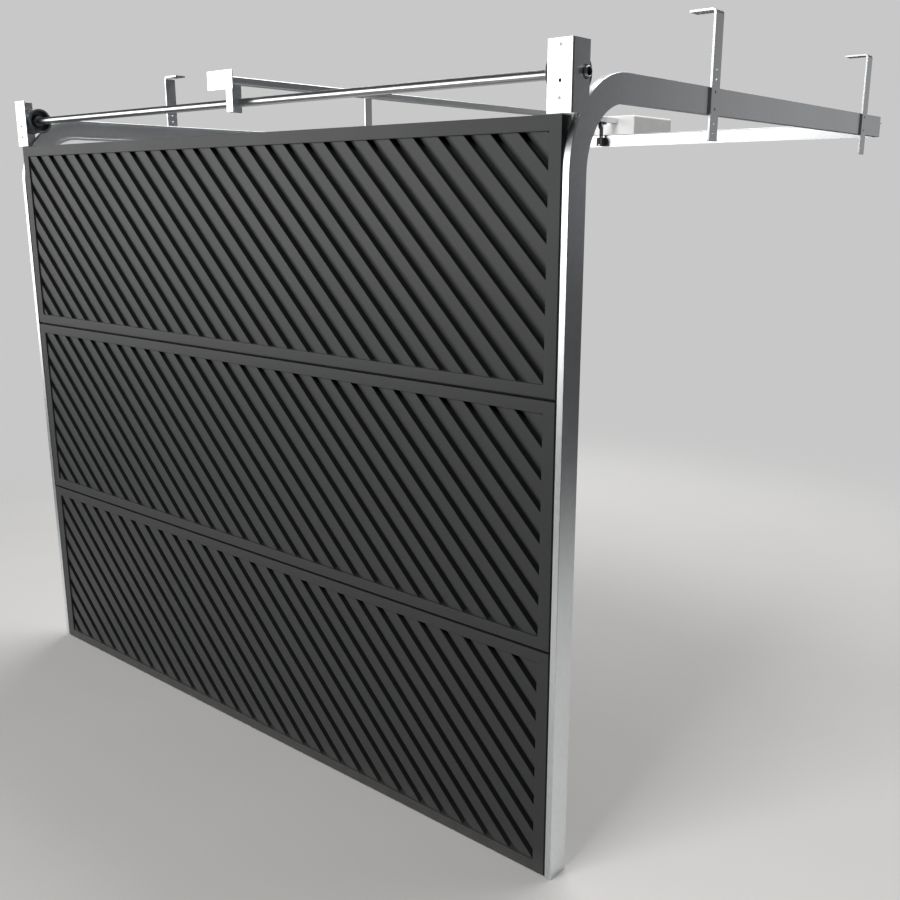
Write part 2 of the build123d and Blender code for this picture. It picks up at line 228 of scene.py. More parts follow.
def galvanised_steel(rgb):
    """Cold-rolled steel strip, hot-dip galvanised."""
    # Zinc crystals give flat grains that catch the light a little differently from each other.
    # The spangle is 14 mm across, and the coat's faint waves are drawn 4 mm from crest to crest.
    material, tree, place = blank_material("hot_dip_galvanised_steel")
    tone = mottled(tree, place, rgb, 160, 0.02)[0]
    spangle = add_node(tree, "ShaderNodeTexVoronoi", {
        "Vector": place, "Scale": per_metre(14), "Randomness": 1.0}, feature="F1")
    grain = add_node(tree, "ShaderNodeRGBToBW", {"Color": spangle.outputs["Color"]})
    shift = add_node(tree, "ShaderNodeMapRange", {
        "Value": grain.outputs["Val"], "To Min": 0.96, "To Max": 1.02})
    crystal = add_node(tree, "ShaderNodeMixRGB", {
        "Fac": 1.0, "Color1": tone, "Color2": shift.outputs["Result"]}, blend_type="MULTIPLY")
    gloss = add_node(tree, "ShaderNodeMapRange", {
        "Value": grain.outputs["Val"], "To Min": 0.3, "To Max": 0.33})
    waves = add_node(tree, "ShaderNodeTexNoise", {
        "Vector": place, "Scale": per_metre(4), "Detail": 2.0})
    bump = add_node(tree, "ShaderNodeBump", {
        "Height": waves.outputs["Fac"], "Strength": 0.012, "Distance": 0.2 * MM})
    finish_off(tree, {"Base Color": crystal.outputs["Color"], "Metallic": 1.0,
                      "Roughness": gloss.outputs["Result"], "Normal": bump.outputs["Normal"]})
    return material


def drawn_steel_tube(rgb):
    """Cold-drawn steel tube, plated bright."""
    # Drawing leaves straight lines along the tube, which stretch each highlight lengthwise.
    # The lines are drawn 3 mm wide and 40 times as long.
    material, tree, place = blank_material("cold_drawn_steel_tube")
    tone, drift = mottled(tree, place, rgb, 3, 0.03, (0.025, 1, 1))
    gloss = add_node(tree, "ShaderNodeMapRange", {"Value": drift, "To Min": 0.28, "To Max": 0.33})
    bump = add_node(tree, "ShaderNodeBump", {"Height": drift, "Strength": 0.02,
                                             "Distance": 0.1 * MM})
    finish_off(tree, {"Base Color": tone, "Metallic": 1.0, "Roughness": gloss.outputs["Result"],
                      "Normal": bump.outputs["Normal"]})
    return material


def die_cast_aluminium(rgb):
    """Die-cast aluminium, as cast, gone dull."""
    # A cast skin is grainy and dull, with darker clouds 24 mm across. Its grain is drawn at 3 mm.
    material, tree, place = blank_material("die_cast_aluminium")
    tone = mottled(tree, place, rgb, 24, 0.12)[0]
    grain = add_node(tree, "ShaderNodeTexNoise", {
        "Vector": place, "Scale": per_metre(3), "Detail": 6.0, "Roughness": 0.7})
    bump = add_node(tree, "ShaderNodeBump", {
        "Height": grain.outputs["Fac"], "Strength": 0.25, "Distance": 0.3 * MM})
    gloss = add_node(tree, "ShaderNodeMapRange", {
        "Value": grain.outputs["Fac"], "To Min": 0.42, "To Max": 0.6})
    finish_off(tree, {"Base Color": tone, "Metallic": 1.0, "Roughness": gloss.outputs["Result"],
                      "Normal": bump.outputs["Normal"]})
    return material


def zinc_plated_steel(rgb):
    """Pressed steel, electroplated with zinc."""
    # Plating is bright and slightly milky, with cloudy patches about 9 mm across.
    material, tree, place = blank_material("zinc_plated_steel")
    tone, drift = mottled(tree, place, rgb, 9, 0.08)
    gloss = add_node(tree, "ShaderNodeMapRange", {"Value": drift, "To Min": 0.28, "To Max": 0.42})
    finish_off(tree, {"Base Color": tone, "Metallic": 1.0, "Roughness": gloss.outputs["Result"]})
    return material


def moulded_nylon(rgb):
    """Injection-moulded nylon."""
    # Nylon looks waxy, with a satin moulded skin. Its flow marks are drawn 6 mm across.
    material, tree, place = blank_material("moulded_nylon")
    tone, drift = mottled(tree, place, rgb, 6, 0.03)
    gloss = add_node(tree, "ShaderNodeMapRange", {"Value": drift, "To Min": 0.38, "To Max": 0.5})
    finish_off(tree, {"Base Color": tone, "Roughness": gloss.outputs["Result"], "IOR": 1.53})
    return material


def moulded_abs(rgb):
    """Injection-moulded ABS with a fine spark-eroded grain."""
    # The grain breaks up the highlight on an even white cover. Real grain is about 0.3 mm.
    # It is drawn at 3 mm, so that it shows.
    material, tree, place = blank_material("moulded_abs")
    tone, drift = mottled(tree, place, rgb, 90, 0.02)
    grain = add_node(tree, "ShaderNodeTexNoise", {
        "Vector": place, "Scale": per_metre(3), "Detail": 3.0})
    bump = add_node(tree, "ShaderNodeBump", {
        "Height": grain.outputs["Fac"], "Strength": 0.12, "Distance": 0.2 * MM})
    gloss = add_node(tree, "ShaderNodeMapRange", {"Value": drift, "To Min": 0.4, "To Max": 0.48})
    finish_off(tree, {"Base Color": tone, "Roughness": gloss.outputs["Result"],
                      "Normal": bump.outputs["Normal"], "IOR": 1.54})
    return material


def black_coated_steel(rgb):
    """Pressed steel with a black electrocoat."""
    # Electrocoat is thin and satin, with slightly greyer rubbed patches about 12 mm across.
    material, tree, place = blank_material("black_electrocoated_steel")
    tone, drift = mottled(tree, place, rgb, 12, 0.18)
    gloss = add_node(tree, "ShaderNodeMapRange", {"Value": drift, "To Min": 0.36, "To Max": 0.5})
    finish_off(tree, {"Base Color": tone, "Roughness": gloss.outputs["Result"], "IOR": 1.5})
    return material


def extruded_rubber(rgb):
    """Extruded EPDM rubber."""
    # Rubber is matt, with faint lines along the extrusion, 2 mm wide and 50 times as long.
    material, tree, place = blank_material("extruded_epdm_rubber")
    tone, drift = mottled(tree, place, rgb, 2, 0.2, (0.02, 1, 1))
    gloss = add_node(tree, "ShaderNodeMapRange", {"Value": drift, "To Min": 0.68, "To Max": 0.82})
    bump = add_node(tree, "ShaderNodeBump", {"Height": drift, "Strength": 0.2,
                                             "Distance": 0.2 * MM})
    finish_off(tree, {"Base Color": tone, "Roughness": gloss.outputs["Result"],
                      "Normal": bump.outputs["Normal"], "IOR": 1.52})
    return material


FINISHES = {
    "coat": powder_coated_steel,
    "zinc": galvanised_steel,
    "tube": drawn_steel_tube,
    "drum": die_cast_aluminium,
    "plated": zinc_plated_steel,
    "nylon": moulded_nylon,
    "housing": moulded_abs,
    "black": black_coated_steel,
    "rubber": extruded_rubber,
}
made_finishes = {}


def finish(name):
    """The material of one finish, made once in the colour that the panel gives."""
    if name not in made_finishes:
        rgb = getattr(bpy.context.scene.garage_door_colours, name)
        made_finishes[name] = FINISHES[name](rgb)
    return made_finishes[name]


# Shapes


def new_piece(name, parts, body, stands_for=(), moved=None):
    """One object from several parts, each with its finish, riding on a body of the frame."""
    whole = bmesh.new()
    names = []
    for part, finish_name in parts:
        if finish_name not in names:
            names.append(finish_name)
        bmesh.ops.recalc_face_normals(part, faces=part.faces[:])
        for face in part.faces:
            face.material_index = names.index(finish_name)
            face.smooth = True
        carried = bpy.data.meshes.new("carried")
        part.to_mesh(carried)
        part.free()
        whole.from_mesh(carried)
        bpy.data.meshes.remove(carried)
    if moved is not None:
        whole.transform(moved)
        if moved.determinant() < 0:
            bmesh.ops.reverse_faces(whole, faces=whole.faces[:])
    mesh = bpy.data.meshes.new(name)
    whole.to_mesh(mesh)
    whole.free()
    for finish_name in names:
        mesh.materials.append(finish(finish_name))
    mesh.set_sharp_from_angle(angle=SHARP_ANGLE)
    piece = bpy.data.objects.new(name, mesh)
    bpy.context.scene.collection.objects.link(piece)
    weighted = piece.modifiers.new("even_shading", "WEIGHTED_NORMAL")
    weighted.keep_sharp = True
    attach(piece, body)
    if stands_for:
        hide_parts(*stands_for)
    return piece


def set_in(part, origin, u, v, w):
    """Puts a part's own axes along u, v and w, from an origin."""
    columns = (Vector(u), Vector(v), Vector(w))
    turn = Matrix([[column[row] for column in columns] for row in range(3)]).to_4x4()
    part.transform(Matrix.Translation(origin) @ turn)
    return part


def rounded(corners, steps=4):
    """A closed outline whose corners, each given as x, y and radius, are rounded."""
    loop = []
    for place, (x, y, radius) in enumerate(corners):
        corner = Vector((x, y))
        if radius <= 0:
            loop.append(corner)
            continue
        before = (Vector(corners[place - 1][:2]) - corner).normalized()
        after = (Vector(corners[(place + 1) % len(corners)][:2]) - corner).normalized()
        half = before.angle(after) / 2
        centre = corner + (before + after).normalized() * (radius / math.sin(half))
        start = corner + before * (radius / math.tan(half)) - centre
        end = corner + after * (radius / math.tan(half)) - centre
        first = math.atan2(start.y, start.x)
        turn = (math.atan2(end.y, end.x) - first + math.pi) % (2 * math.pi) - math.pi
        for step in range(steps + 1):
            angle = first + turn * step / steps
            loop.append(centre + Vector((math.cos(angle), math.sin(angle))) * radius)
    return loop


def rectangle(x0, x1, y0, y1, radius=0.0):
    """A rectangle's outline, with rounded corners if a radius is given."""
    return rounded([(x0, y0, radius), (x1, y0, radius), (x1, y1, radius), (x0, y1, radius)])


def ring(x, y, radius, steps=24):
    """A round outline."""
    angles = [2 * math.pi * step / steps for step in range(steps)]
    return [Vector((x + radius * math.cos(a), y + radius * math.sin(a))) for a in angles]


def slotted(x, y, radius, reach, steps=8):
    """The outline of a slot along x, reach long from centre to centre."""
    loop = []
    for side, start in ((1, -math.pi / 2), (-1, math.pi / 2)):
        for step in range(steps + 1):
            angle = start + math.pi * step / steps
            centre = x + side * reach / 2
            loop.append(Vector((centre + radius * math.cos(angle), y + radius * math.sin(angle))))
    return loop


def ease_edges(part, edge, least_angle=50, segments=2):
    """Rounds off a part's sharp edges."""
    if edge <= 0:
        return part
    sharp = [e for e in part.edges
             if e.is_manifold and e.calc_face_angle(0) > math.radians(least_angle)]
    bmesh.ops.bevel(part, geom=sharp, offset=edge, segments=segments, profile=0.5,
                    affect="EDGES", clamp_overlap=True)
    return part


def plate(outline, holes, thickness, edge):
    """A flat sheet cut to an outline, with holes. It lies in x and y, and z is its thickness."""
    part = bmesh.new()
    edges = []
    for loop in [outline] + list(holes):
        corners = [part.verts.new((point[0], point[1], 0)) for point in loop]
        edges += [part.edges.new((corners[i - 1], corners[i])) for i in range(len(corners))]
    bmesh.ops.triangle_fill(part, use_beauty=True, edges=edges, normal=(0, 0, 1))
    grown = bmesh.ops.extrude_face_region(part, geom=part.faces[:])
    lifted = [v for v in grown["geom"] if isinstance(v, bmesh.types.BMVert)]
    bmesh.ops.translate(part, verts=lifted, vec=(0, 0, thickness))
    bmesh.ops.recalc_face_normals(part, faces=part.faces[:])
    return ease_edges(part, edge)


def past_fold(at, inner, thickness, distance):
    """Where a place on a folded leg, at a distance from the outer face, lies in the flat sheet."""
    return at + (inner + thickness / 2) * math.pi / 2 + distance - thickness - inner


def fold(part, at, inner, thickness, steps=6):
    """Bends a flat sheet up through a right angle along a line across x."""
    middle = inner + thickness / 2
    bend = middle * math.pi / 2
    for step in range(steps + 1):
        everything = part.verts[:] + part.edges[:] + part.faces[:]
        bmesh.ops.bisect_plane(part, geom=everything, plane_co=(at + bend * step / steps, 0, 0),
                               plane_no=(1, 0, 0))
    for vert in part.verts:
        u, v, w = vert.co
        if u <= at:
            continue
        turn = min((u - at) / middle, math.pi / 2)
        rest = max(u - at - bend, 0)
        reach = inner + thickness - w
        vert.co = (at + reach * math.sin(turn) + rest * math.cos(turn), v,
                   thickness + inner - reach * math.cos(turn) + rest * math.sin(turn))
    return part


def lofted(rings):
    """A closed skin through a row of outlines that have the same number of points."""
    part = bmesh.new()
    rows = [[part.verts.new(point) for point in points] for points in rings]
    for row, following in zip(rows, rows[1:]):
        for i in range(len(row)):
            part.faces.new((row[i - 1], row[i], following[i], following[i - 1]))
    part.faces.new(rows[0])
    part.faces.new(list(reversed(rows[-1])))
    return part


def swept(loop, stations):
    """An outline carried along stations, each given as origin, x axis and y axis."""
    return lofted([[origin + across * point[0] + up * point[1] for point in loop]
                   for origin, across, up in stations])


def turned(profile, steps=48, hollow=False):
    """A lathe-turned part about z. Each point of its profile is a height and a radius."""
    part = bmesh.new()
    rows = []
    for height, radius in profile:
        angles = [2 * math.pi * step / steps for step in range(steps)]
        rows.append([part.verts.new((radius * math.cos(a), radius * math.sin(a), height))
                     for a in angles])
    pairs = list(zip(rows, rows[1:]))
    if hollow:
        pairs.append((rows[-1], rows[0]))
    for row, following in pairs:
        for i in range(steps):
            part.faces.new((row[i - 1], row[i], following[i], following[i - 1]))
    bmesh.ops.remove_doubles(part, verts=part.verts[:], dist=1e-7)
    return part


def along(part, origin, axis):
    """Stands a turned part on an origin, with its own z along an axis."""
    w = Vector(axis).normalized()
    u = w.orthogonal().normalized()
    return set_in(part, origin, u, w.cross(u), w)


def bar(low, high, edge):
    """A block between two corners, with its edges eased."""
    part = bmesh.new()
    bmesh.ops.create_cube(part, size=1.0)
    for vert in part.verts:
        vert.co = Vector([low[i] + (vert.co[i] + 0.5) * (high[i] - low[i]) for i in range(3)])
    return ease_edges(part, edge)


def rod(origin, axis, reach, radius, edge=0.5 * MM, steps=24):
    """A round bar with its ends eased."""
    profile = [(0, 0), (0, radius - edge), (edge, radius), (reach - edge, radius),
               (reach, radius - edge), (reach, 0)]
    return along(turned(profile, steps), origin, axis)


def hex_bolt(origin, axis, width, height=None):
    """A hexagon head with a turned-down crown, on its washer."""
    height = height or width * 0.45
    corner = width / math.sqrt(3)
    crown = corner * 0.86
    washer = 1.2 * MM
    rim = corner * 1.3
    widest = corner * 1.36
    head = turned([(washer, 0), (washer, corner), (washer + height * 0.8, corner),
                   (washer + height, crown), (washer + height, 0)], 6)
    collar = turned([(0, 0), (0, rim), (washer * 0.7, widest), (washer, rim), (washer, 0)], 24)
    return [(along(head, origin, axis), "plated"), (along(collar, origin, axis), "plated")]


# Leaf


def joint_height(lower, upper):
    """Z of the joint between two of the leaf's sections."""
    return (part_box(lower + "_section_frame")[1].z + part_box(upper + "_section_frame")[0].z) / 2


def slat_edges(sizes, first, last):
    """Front edges of the slats, counted across them from the section's bottom middle."""
    wide = math.ceil((sizes.slat_change - first) / sizes.slat_pitch_wide)
    narrow = math.ceil((last - sizes.slat_change) / sizes.slat_pitch_narrow)
    edges = [sizes.slat_change - count * sizes.slat_pitch_wide for count in range(wide, 0, -1)]
    return edges + [sizes.slat_change + count * sizes.slat_pitch_narrow
                    for count in range(narrow + 1)]


def cut_square(part, low, high):
    """Cuts a part off at the four sides of an opening in X and Z, and closes the cuts."""
    for corner, outward in ((low, -RIGHTWARD), (high, RIGHTWARD), (low, -UPWARD), (high, UPWARD)):
        everything = part.verts[:] + part.edges[:] + part.faces[:]
        cut = bmesh.ops.bisect_plane(part, geom=everything, plane_co=corner, plane_no=outward,
                                     clear_outer=True)
        rim = [e for e in cut["geom_cut"] if isinstance(e, bmesh.types.BMEdge)]
        bmesh.ops.edgeloop_fill(part, edges=rim)
    return part


class GARAGE_OT_leaf_sections(Operator):
    """Make the frames, diagonal slats and rear skins of the leaf's sections"""

    bl_idname = "garage_door.leaf_sections"
    bl_label = "Leaf Sections"

    def execute(self, context):
        sizes = context.scene.garage_door_sizes
        for section in SECTIONS:
            self.make_frame(sizes, section)
            self.make_slats(sizes, section)
            self.make_rear_skin(sizes, section)
        return {"FINISHED"}

    def make_frame(self, sizes, section):
        """Four flat members round the section, and the tongue that closes the joint above."""
        node = section + "_section_frame"
        low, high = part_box(node)
        in_low, in_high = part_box(section + "_section_slats")
        bottom = low.z + (0 if section == SECTIONS[0] else sizes.joint_relief)
        top = high.z - (0 if section == SECTIONS[-1] else sizes.joint_relief)
        border = plate(rectangle(low.x, high.x, bottom, top),
                       [rectangle(in_low.x, in_high.x, in_low.z, in_high.z)],
                       high.y - low.y, sizes.frame_edge)
        parts = [(set_in(border, (0, low.y, 0), RIGHTWARD, UPWARD, INWARD), "coat")]
        if section != SECTIONS[-1]:
            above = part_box(SECTIONS[SECTIONS.index(section) + 1] + "_section_frame")[0].z
            inset = 2 * MM
            front = low.y + 16 * MM
            rear = low.y + 28 * MM
            tongue = bar((low.x + inset, front, top - 1 * MM),
                         (high.x - inset, rear, above + sizes.joint_relief), 0.5 * MM)
            parts.append((tongue, "rubber"))
        new_piece(node + "_coated", parts, "door", [node])

    def make_slats(self, sizes, section):
        """Folded slats: a flat face, an edge folded back, a deep groove and a rounded rise."""
        node = section + "_section_slats"
        low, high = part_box(node)
        # The pattern starts afresh at the foot of each third of the leaf.
        base = SECTIONS.index(section) * LEAF_TOP / len(SECTIONS)
        face = low.y
        rear = self.skin_front(section)
        floor = rear - 1 * MM
        rounding = 1 * MM
        rise_steps = 10
        steepness = 2.4
        slant = math.sqrt(0.5)
        first = ((low.x - CENTRE_X) + (low.z - base)) * slant
        last = ((high.x - CENTRE_X) + (high.z - base)) * slant
        edges = slat_edges(sizes, first, last)
        corners = [(edges[0], rear, 0)]
        for edge in edges:
            folded_back = edge > edges[0]
            corners.append((edge, face, rounding if folded_back else 0))
            corners.append((edge - (sizes.slat_return if folded_back else 0), floor, 0))
            corners.append((edge + sizes.groove_width, floor, 0))
            for step in range(rise_steps + 1):
                share = step / rise_steps
                corners.append((edge + sizes.groove_width + sizes.slat_rise * share,
                                face + sizes.lip_depth * (1 - share) ** steepness, 0))
        end = edges[-1] + sizes.slat_pitch_narrow
        corners += [(end, face, 0), (end, rear, 0)]
        loop = rounded(corners, 3)
        run = (high.x - low.x) + (high.z - low.z)
        middle = Vector((CENTRE_X, 0, base))
        down = Vector((slant, 0, -slant))
        across = Vector((slant, 0, slant))
        panel = swept(loop, [(middle - down * run, across, INWARD),
                             (middle + down * run, across, INWARD)])
        cut_square(panel, low, high)
        new_piece(node + "_folded", [(panel, "coat")], "door", [node])

    def skin_front(self, section):
        """Where the slats' folds end and the rear skin begins, in Y."""
        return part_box(section + "_section_back")[1].y - SKIN_DEPTH

    def make_rear_skin(self, sizes, section):
        """A rear skin with shallow pressed ribs."""
        node = section + "_section_back"
        low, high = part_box(node)
        low.y = self.skin_front(section)
        depth = 3 * MM
        half = 9 * MM
        bend = 2 * MM
        count = int((high.z - low.z) / sizes.rib_pitch)
        pitch = (high.z - low.z) / (count + 1)
        corners = [(low.y, low.z, 0), (high.y, low.z, 0)]
        for number in range(1, count + 1):
            z = low.z + number * pitch
            corners += [(high.y, z - half, bend), (high.y - depth, z - half / 2, bend),
                        (high.y - depth, z + half / 2, bend), (high.y, z + half, bend)]
        corners += [(high.y, high.z, 0), (low.y, high.z, 0)]
        skin = swept(rounded(corners, 3), [(RIGHTWARD * low.x, INWARD, UPWARD),
                                           (RIGHTWARD * high.x, INWARD, UPWARD)])
        new_piece(node + "_ribbed", [(skin, "coat")], "door", [node])


class GARAGE_OT_bottom_seal(Operator):
    """Make the rubber seal under the leaf"""

    bl_idname = "garage_door.bottom_seal"
    bl_label = "Bottom Seal"

    def execute(self, context):
        low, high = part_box("bottom_seal")
        groove = 1.5 * MM
        third = (high.y - low.y) / 3
        corners = [(low.y, high.z, 0), (low.y, low.z, 2 * MM)]
        for number in (1, 2):
            y = low.y + number * third
            corners += [(y - groove, low.z, 0.8 * MM), (y, low.z + groove, 0.5 * MM),
                        (y + groove, low.z, 0.8 * MM)]
        corners += [(high.y, low.z, 2 * MM), (high.y, high.z, 0)]
        strip = swept(rounded(corners, 4), [(RIGHTWARD * low.x, INWARD, UPWARD),
                                            (RIGHTWARD * high.x, INWARD, UPWARD)])
        new_piece("bottom_seal_extruded", [(strip, "rubber")], "door",
                  ["bottom_seal"])
        return {"FINISHED"}


class GARAGE_OT_joint_hinges(Operator):
    """Make the rows of hinges on the rear of the leaf's joints"""

    bl_idname = "garage_door.joint_hinges"
    bl_label = "Joint Hinges"

    def execute(self, context):
        sizes = context.scene.garage_door_sizes
        for row, lower, upper in JOINTS:
            node = row + "_joint_hinges"
            z = joint_height(lower, upper)
            parts = []
            for number in range(1, sizes.hinges_per_joint + 1):
                x = LEAF_LEFT + (LEAF_RIGHT - LEAF_LEFT) * number / (sizes.hinges_per_joint + 1)
                parts += self.hinge(sizes, x, z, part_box(node))
            new_piece(node + "_pressed", parts, "door", [node])
        return {"FINISHED"}

    def hinge(self, sizes, x, z, span):
        """Two pressed leaves with their bolts, round a pin in three knuckles."""
        half_width = 35 * MM
        half_height = (span[1].z - span[0].z) / 2
        bolt_across = 21 * MM
        bolt_rise = 38 * MM
        corner = 9 * MM
        radius = (span[1].y - LEAF_REAR) / 2
        parts = []
        for side in (-1, 1):
            near = z + side * 3.5 * MM
            far = z + side * half_height
            outline = rounded([(x - half_width, near, 0), (x + half_width, near, 0),
                               (x + half_width, far, corner), (x - half_width, far, corner)])
            leaf = plate(outline, [], SHEET_WALL, sizes.sheet_edge)
            parts.append((set_in(leaf, (0, LEAF_REAR, 0), RIGHTWARD, UPWARD, INWARD), "plated"))
            for bolt_x in (x - bolt_across, x + bolt_across):
                parts += hex_bolt((bolt_x, LEAF_REAR + SHEET_WALL, z + side * bolt_rise), INWARD,
                                  SMALL_BOLT_WIDTH)
        third = 2 * half_width / 3
        gap = 0.5 * MM
        end = third - 2 * gap + 0.1 * MM
        knuckle = [(0, 0), (0, radius - 1 * MM), (0.4 * MM, radius), (third - 2 * gap, radius),
                   (end, radius - 1 * MM), (end, 0)]
        for number in range(3):
            start = x - half_width + number * third + gap
            parts.append((along(turned(knuckle, 24), (start, LEAF_REAR + radius, z), RIGHTWARD),
                          "plated"))
        pin = rod((x - half_width, LEAF_REAR + radius, z), RIGHTWARD, 2 * half_width,
                  radius * 0.55, 0.4 * MM)
        parts.append((pin, "tube"))
        return parts


# Tracks and rollers


def roller_places(sizes):
    """Y and Z of the rollers in one track, from the floor up."""
    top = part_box("left_curved_track")[1].z
    rear_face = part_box("left_vertical_track")[1].y - sizes.track_wall
    straight = rear_face - sizes.roller_radius
    lowest = 60 * MM
    highest = LEAF_TOP - 50 * MM
    places = [(straight, lowest)]
    places += [(straight, joint_height(joint[1], joint[2])) for joint in JOINTS]
    rise = highest - (top - sizes.curve_radius)
    inner = sizes.curve_radius - rear_face + sizes.roller_radius
    places.append((sizes.curve_radius - math.sqrt(inner ** 2 - rise ** 2), highest))
    return places


class GARAGE_OT_rollers(Operator):
    """Make the track rollers and the brackets that hold them on the leaf"""

    bl_idname = "garage_door.rollers"
    bl_label = "Rollers and Brackets"

    def execute(self, context):
        sizes = context.scene.garage_door_sizes
        for side, moved in SIDES.items():
            wheels = []
            holders = []
            for y, z in roller_places(sizes):
                wheels += self.roller(sizes, y, z)
                holders += self.holder(sizes, y, z)
            new_piece(side + "_rollers_moulded", wheels, "door",
                      [side + "_rollers"], moved)
            new_piece(side + "_roller_brackets_pressed", holders, "door",
                      [side + "_roller_brackets"], moved)
        return {"FINISHED"}

    def roller(self, sizes, y, z):
        """A nylon tyre round a bearing, on a steel stem."""
        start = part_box("left_rollers")[0].x
        run = 1000 * (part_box("left_rollers")[1].x - start)
        drawn_radius = 22
        # Heights and radii of the profiles are in millimetres.
        tyre = [(0.8, 10.5), (0, 12), (0, 13), (1.6, 15), (1.6, 18), (0, 19.5), (0, 21),
                (1, 22), (7, 22), (8, 21), (8, 19.5), (6.4, 18), (6.4, 15), (8, 13), (8, 12),
                (7.2, 10.5)]
        tyre = [(height * MM, share * sizes.roller_radius / drawn_radius)
                for height, share in tyre]
        race = [(0.4, 5.5), (0.4, 10.4), (7.6, 10.4), (7.6, 5.5)]
        race = [(height * MM, radius * MM) for height, radius in race]
        stem = [(0.3, 0), (0.3, 4.6), (1, 5.5), (run - 1.2, 5.5), (run, 4.4), (run, 0)]
        stem = [(height * MM, radius * MM) for height, radius in stem]
        origin = (start, y, z)
        return [(along(turned(tyre, 48, True), origin, RIGHTWARD), "nylon"),
                (along(turned(race, 32, True), origin, RIGHTWARD), "plated"),
                (along(turned(stem, 24), origin, RIGHTWARD), "tube")]

    def holder(self, sizes, y, z):
        """A bolted plate with a sleeve round the stem, held between two cheeks."""
        low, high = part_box("left_roller_brackets")
        wall = SHEET_WALL
        sleeve = 8.5 * MM
        bore = 5.6 * MM
        half = 45 * MM
        bolt_side = 14 * MM
        bolt_end = 11 * MM
        bottom = max(z - half, low.z)
        top = min(z + half, high.z)
        corner = 7 * MM
        base = plate(rectangle(low.x, high.x, bottom, top, corner), [], wall, sizes.sheet_edge)
        parts = [(set_in(base, (0, LEAF_REAR, 0), RIGHTWARD, UPWARD, INWARD), "plated")]
        tube = [(0, bore), (0, sleeve - 0.4 * MM), (0.4 * MM, sleeve),
                (high.x - low.x - 0.4 * MM, sleeve), (high.x - low.x, sleeve - 0.4 * MM),
                (high.x - low.x, bore)]
        parts.append((along(turned(tube, 32, True), (low.x, y, z), RIGHTWARD), "plated"))
        for side in (-1, 1):
            edge_z = sorted((z + side * sleeve, z + side * (sleeve - wall)))
            cheek = bar((low.x + 1 * MM, LEAF_REAR + wall - 0.2 * MM, edge_z[0]),
                        (high.x - 1 * MM, y, edge_z[1]), 0.4 * MM)
            parts.append((cheek, "plated"))
            bolt_z = bottom + bolt_end if side < 0 else top - bolt_end
            for x in (low.x + bolt_side, high.x - bolt_side):
                parts += hex_bolt((x, LEAF_REAR + wall, bolt_z), INWARD, SMALL_BOLT_WIDTH)
        return parts


def track_outline(sizes):
    """Rolled channel of the left track, open towards the door."""
    low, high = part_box("left_vertical_track")
    wall = sizes.track_wall
    outer = 1.5 * MM
    inner = 0.6 * MM
    tip = 0.9 * MM
    lip = sizes.track_lip
    depth = high.y
    return rounded([
        (low.x, 0, outer), (high.x, 0, outer), (high.x, lip, tip), (high.x - wall, lip, tip),
        (high.x - wall, wall, inner), (low.x + wall, wall, inner),
        (low.x + wall, depth - wall, inner), (high.x - wall, depth - wall, inner),
        (high.x - wall, depth - lip, tip), (high.x, depth - lip, tip), (high.x, depth, outer),
        (low.x, depth, outer)])


class GARAGE_OT_tracks(Operator):
    """Make the vertical, curved and horizontal tracks"""

    bl_idname = "garage_door.tracks"
    bl_label = "Tracks"

    def execute(self, context):
        sizes = context.scene.garage_door_sizes
        loop = track_outline(sizes)
        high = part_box("left_horizontal_track")[1]
        radius = sizes.curve_radius
        centre_z = high.z - radius
        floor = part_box("left_vertical_track")[0].z
        steps = 24
        turns = [math.pi / 2 * step / steps for step in range(steps + 1)]
        runs = {
            "vertical_track": [(Vector((0, 0, z)), RIGHTWARD, INWARD)
                               for z in (floor, centre_z)],
            "curved_track": [
                (Vector((0, radius - radius * math.cos(a), centre_z + radius * math.sin(a))),
                 RIGHTWARD, Vector((0, math.cos(a), -math.sin(a)))) for a in turns],
            "horizontal_track": [(Vector((0, y, high.z)), RIGHTWARD, -UPWARD)
                                 for y in (radius, high.y)],
        }
        for side, moved in SIDES.items():
            for name, stations in runs.items():
                node = side + "_" + name
                new_piece(node + "_rolled", [(swept(loop, stations), "zinc")], "door",
                          [node], moved)
        return {"FINISHED"}


# Lift shaft and its brackets


